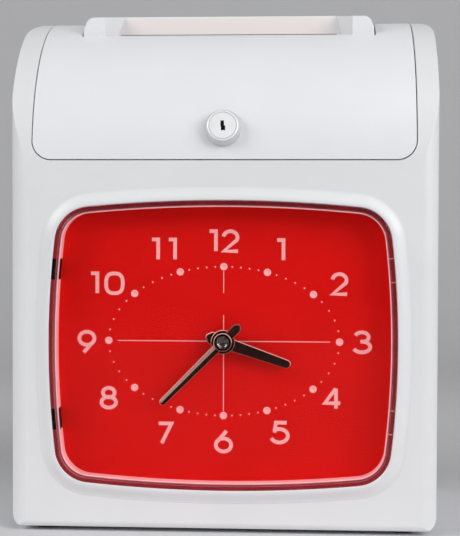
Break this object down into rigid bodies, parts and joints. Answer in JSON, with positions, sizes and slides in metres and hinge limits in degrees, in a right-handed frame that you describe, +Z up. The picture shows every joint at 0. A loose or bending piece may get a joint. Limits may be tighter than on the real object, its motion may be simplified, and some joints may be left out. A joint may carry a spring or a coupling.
{
  "type": "time clock",
  "caption": "Punch-card time clock with a red analogue dial under a clear lens, a locking hinged top cover, a card throat, and the movement and card printer inside.",
  "frame": {"origin": "middle of the footprint, on the surface that the rubber feet stand on", "axes": "+Z up, the dial faces -Y, +X to the right as seen from the front"},
  "size_m": [0.205, 0.13, 0.2544],
  "materials": {
    "case_plastic": "satin moulded, light grey",
    "cover_plastic": "smooth moulded, off-white",
    "rubber": "matt",
    "steel": "zinc plated",
    "lock_chrome": "polished",
    "clear_lens": "clear, polished",
    "dial_trim": "satin, dark red",
    "dial_red": "printed red, satin",
    "dial_print": "pale pink print",
    "hand_metal": "dark polished nickel",
    "cap_metal": "polished",
    "white_plastic": "natural nylon",
    "brass": "turned",
    "black_plastic": "fine texture",
    "head_metal": "cast, finned",
    "ribbon_cloth": "inked nylon",
    "display_glass": "liquid crystal window",
    "button_plastic": "soft satin",
    "board": "solder mask",
    "battery_wrap": "shrink wrap"
  },
  "bodies": {
    "root": {"front_case": "case_plastic", "rear_case": "case_plastic", "hinge_pins": "steel", "card_throat": "cover_plastic", "rubber_feet": "rubber", "screws": "steel", "dial_lens": "clear_lens", "dial_frame": "dial_trim", "dial_plate": "dial_red", "hour_markers": "dial_print", "movement_case": "white_plastic", "movement_cover": "white_plastic", "movement_nut": "brass", "movement_motor": "steel", "frame_left": "steel", "frame_right": "steel", "tie_bars": "steel", "card_chute": "black_plastic", "platen": "rubber", "feed_bushings": "brass", "feed_motor": "steel", "cross_plate": "steel", "carriage_motor": "steel", "drive_belt": "rubber", "guide_rods": "steel", "ribbon_cassette": "black_plastic", "ink_ribbon": "ribbon_cloth", "control_panel": "black_plastic", "setting_display": "display_glass", "main_board": "board", "board_parts": "black_plastic", "battery_pack": "battery_wrap", "dc_jack": "black_plastic"},
    "cover": {"top_cover": "cover_plastic", "lock_body": "lock_chrome", "lock_nut": "steel"},
    "lock": {"lock_plug": "lock_chrome", "lock_cam": "steel"},
    "minute": {"minute_hand": "hand_metal", "hand_cap": "cap_metal", "minute_arbor": "steel"},
    "hour": {"hour_hand": "hand_metal", "hour_wheel": "brass"},
    "motion": {"minute_wheel": "brass"},
    "movement_drive": {"drive_pinion": "brass"},
    "feed": {"feed_shaft": "steel", "feed_rollers": "rubber", "feed_gear": "white_plastic"},
    "feed_drive": {"feed_pinion": "white_plastic"},
    "pinch": {"pinch_shaft": "steel", "pinch_rollers": "rubber"},
    "print_carriage": {"carriage": "black_plastic", "print_head": "head_metal"},
    "belt_drive": {"drive_pulley": "brass"},
    "belt_idler": {"idler_pulley": "brass"},
    "knob": {"ribbon_knob": "black_plastic"},
    "mode": {"button_mode": "button_plastic"},
    "up": {"button_up": "button_plastic"},
    "down": {"button_down": "button_plastic"}
  },
  "joints": [
    {"name": "cover_hinge", "type": "hinge", "parent": "root", "child": "cover", "pos_m": [0, 0.0409, 0.2484], "axis": [-1, 0, 0], "range_deg": [0, 85]},
    {"name": "lock_turn", "type": "hinge", "parent": "cover", "child": "lock", "pos_m": [0, -0.05823, 0.1936], "axis": [0, 0.9764, -0.216], "range_deg": [0, 90]},
    {"name": "minute_turn", "type": "hinge", "parent": "root", "child": "minute", "pos_m": [0, 0, 0.09145], "axis": [0, 1, 0], "continuous": true},
    {"name": "hour_turn", "type": "hinge", "parent": "root", "child": "hour", "pos_m": [0, 0, 0.09145], "axis": [0, 1, 0], "continuous": true},
    {"name": "motion_turn", "type": "hinge", "parent": "root", "child": "motion", "pos_m": [-0.012, 0, 0.09145], "axis": [0, 1, 0], "continuous": true},
    {"name": "movement_drive_turn", "type": "hinge", "parent": "root", "child": "movement_drive", "pos_m": [0, 0, 0.10545], "axis": [0, 1, 0], "continuous": true},
    {"name": "feed_turn", "type": "hinge", "parent": "root", "child": "feed", "pos_m": [0, -0.0097, 0.1524], "axis": [1, 0, 0], "continuous": true},
    {"name": "feed_drive_turn", "type": "hinge", "parent": "root", "child": "feed_drive", "pos_m": [0, 0.0103, 0.1524], "axis": [1, 0, 0], "continuous": true},
    {"name": "pinch_turn", "type": "hinge", "parent": "root", "child": "pinch", "pos_m": [0, -0.0248, 0.1524], "axis": [1, 0, 0], "continuous": true},
    {"name": "carriage_slide", "type": "slide", "parent": "root", "child": "print_carriage", "axis": [1, 0, 0], "range_m": [-0.025, 0.025]},
    {"name": "belt_drive_turn", "type": "hinge", "parent": "root", "child": "belt_drive", "pos_m": [-0.045, 0, 0.1674], "axis": [0, 1, 0], "range_deg": [-225, 225]},
    {"name": "belt_idler_turn", "type": "hinge", "parent": "root", "child": "belt_idler", "pos_m": [0.045, 0, 0.1674], "axis": [0, 1, 0], "range_deg": [-225, 225]},
    {"name": "knob_turn", "type": "hinge", "parent": "root", "child": "knob", "pos_m": [0.045, -0.03, 0.2304], "axis": [0, 0, 1], "continuous": true},
    {"name": "mode_press", "type": "slide", "parent": "root", "child": "mode", "axis": [0, 0, -1], "range_m": [0, 0.0008], "stiffness_N_per_m": 300},
    {"name": "up_press", "type": "slide", "parent": "root", "child": "up", "axis": [0, 0, -1], "range_m": [0, 0.0008], "stiffness_N_per_m": 300},
    {"name": "down_press", "type": "slide", "parent": "root", "child": "down", "axis": [0, 0, -1], "range_m": [0, 0.0008], "stiffness_N_per_m": 300}
  ],
  "couplings": [
    {"joint": "hour_turn", "follows": "minute_turn", "ratio": 0.083333},
    {"joint": "motion_turn", "follows": "minute_turn", "ratio": -0.33333},
    {"joint": "movement_drive_turn", "follows": "minute_turn", "ratio": -6},
    {"joint": "feed_drive_turn", "follows": "feed_turn", "ratio": -4},
    {"joint": "pinch_turn", "follows": "feed_turn", "ratio": -1.2308},
    {"joint": "belt_drive_turn", "follows": "carriage_slide", "rad_per_m": 155.04},
    {"joint": "belt_idler_turn", "follows": "carriage_slide", "rad_per_m": 155.04}
  ]
}
